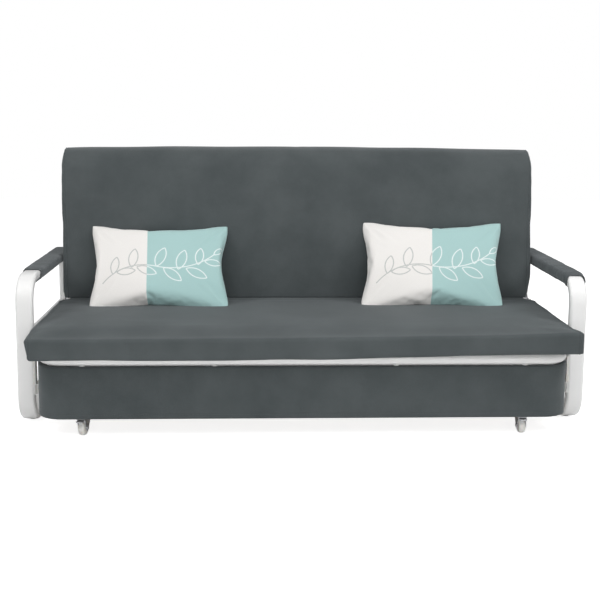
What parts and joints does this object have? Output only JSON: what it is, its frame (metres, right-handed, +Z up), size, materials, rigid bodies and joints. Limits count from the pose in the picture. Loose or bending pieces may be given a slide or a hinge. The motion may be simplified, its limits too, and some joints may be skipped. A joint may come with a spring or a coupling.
{
  "type": "sofa bed",
  "caption": "Sofa bed with closed tube arms, a pull-out seat on braked casters, a fold-flat back with a rolled top and two throw pillows.",
  "frame": {"origin": "on the floor, under the middle of the sofa's box, with the seat pushed in and the back upright", "axes": "+X along the sofa's width to a viewer's right, +Y towards its back, +Z up"},
  "size_m": [1.944, 0.94, 0.9269],
  "materials": {
    "white_powder_coat": "satin white powder coat",
    "zinc_plated_steel": "bright zinc plate",
    "slate_fabric": "slate grey heathered weave",
    "pillow_fabric": "pale brushed weave, one half teal",
    "black_plastic": "fine matt texture",
    "white_nylon": "moulded nylon, semi-matt",
    "birch_wood": "clear-lacquered birch"
  },
  "bodies": {
    "base": {"arm_loop_left": "white_powder_coat", "arm_loop_right": "white_powder_coat", "arm_sleeve_left": "slate_fabric", "arm_sleeve_right": "slate_fabric", "floor_glides": "black_plastic", "side_rail_left": "white_powder_coat", "side_rail_right": "white_powder_coat", "runner_channel_left": "white_powder_coat", "runner_channel_right": "white_powder_coat", "runner_stops": "white_nylon", "guide_pads": "white_nylon", "rear_stretcher": "white_powder_coat", "cross_bar": "white_powder_coat", "cross_bar_hangers": "white_powder_coat", "frame_bolts": "zinc_plated_steel"},
    "pullout": {"seat_rail": "white_powder_coat", "seat_rear_bar": "white_powder_coat", "rail_end_caps": "black_plastic", "seat_slats": "birch_wood", "seat_slat_holders": "black_plastic", "skirt_rail": "white_powder_coat", "skirt_posts": "white_powder_coat", "skirt_board": "birch_wood", "skirt_cover": "slate_fabric", "side_plate_left": "zinc_plated_steel", "side_plate_right": "zinc_plated_steel", "hinge_pins": "zinc_plated_steel", "roller_pins": "zinc_plated_steel", "caster_plate_left": "zinc_plated_steel", "caster_plate_right": "zinc_plated_steel", "seat_cushion": "slate_fabric"},
    "backrest": {"back_frame": "white_powder_coat", "back_lower_bar": "white_powder_coat", "back_slats": "birch_wood", "back_slat_holders": "black_plastic", "back_plate_left": "zinc_plated_steel", "back_plate_right": "zinc_plated_steel", "back_spacers": "zinc_plated_steel", "back_pad": "slate_fabric"},
    "caster_left": {"caster_fork_left": "zinc_plated_steel", "caster_axle_left": "zinc_plated_steel"},
    "caster_right": {"caster_fork_right": "zinc_plated_steel", "caster_axle_right": "zinc_plated_steel"},
    "wheel_left": {"caster_wheel_left": "white_nylon"},
    "wheel_right": {"caster_wheel_right": "white_nylon"},
    "brake_left": {"caster_brake_left": "zinc_plated_steel"},
    "brake_right": {"caster_brake_right": "zinc_plated_steel"},
    "roller_left": {"runner_roller_left": "white_nylon"},
    "roller_right": {"runner_roller_right": "white_nylon"},
    "cushion_left": {"pillow_left": "pillow_fabric"},
    "cushion_right": {"pillow_right": "pillow_fabric"}
  },
  "joints": [
    {"name": "seat_slide", "type": "slide", "parent": "base", "child": "pullout", "axis": [0, -1, 0], "range_m": [0, 0.43]},
    {"name": "back_fold", "type": "hinge", "parent": "pullout", "child": "backrest", "pos_m": [0, 0.178, 0.318], "axis": [-1, 0, 0], "range_deg": [0, 80]},
    {"name": "caster_swivel_left", "type": "hinge", "parent": "pullout", "child": "caster_left", "pos_m": [-0.727, -0.356, 0.06], "axis": [0, 0, 1], "continuous": true},
    {"name": "wheel_spin_left", "type": "hinge", "parent": "caster_left", "child": "wheel_left", "pos_m": [-0.73157, -0.37752, 0.025], "axis": [0.9781, -0.2079, 0], "continuous": true},
    {"name": "brake_press_left", "type": "hinge", "parent": "caster_left", "child": "brake_left", "pos_m": [-0.73469, -0.39219, 0.051], "axis": [0.9781, -0.2079, 0], "range_deg": [0, 12]},
    {"name": "roller_spin_left", "type": "hinge", "parent": "pullout", "child": "roller_left", "pos_m": [-0.896, 0.18, 0.1283], "axis": [1, 0, 0], "continuous": true},
    {"name": "pillow_lift_left", "type": "slide", "parent": "pullout", "child": "cushion_left", "axis": [0, 0, 1], "range_m": [0, 0.3]},
    {"name": "caster_swivel_right", "type": "hinge", "parent": "pullout", "child": "caster_right", "pos_m": [0.727, -0.356, 0.06], "axis": [0, 0, 1], "continuous": true},
    {"name": "wheel_spin_right", "type": "hinge", "parent": "caster_right", "child": "wheel_right", "pos_m": [0.727, -0.378, 0.025], "axis": [1, 0, 0], "continuous": true},
    {"name": "brake_press_right", "type": "hinge", "parent": "caster_right", "child": "brake_right", "pos_m": [0.727, -0.393, 0.051], "axis": [1, 0, 0], "range_deg": [0, 12]},
    {"name": "roller_spin_right", "type": "hinge", "parent": "pullout", "child": "roller_right", "pos_m": [0.896, 0.18, 0.1283], "axis": [1, 0, 0], "continuous": true},
    {"name": "pillow_lift_right", "type": "slide", "parent": "pullout", "child": "cushion_right", "axis": [0, 0, 1], "range_m": [0, 0.3]}
  ],
  "couplings": [
    {"joint": "roller_spin_left", "follows": "seat_slide", "rad_per_m": 71.429},
    {"joint": "roller_spin_right", "follows": "seat_slide", "rad_per_m": 71.429}
  ]
}
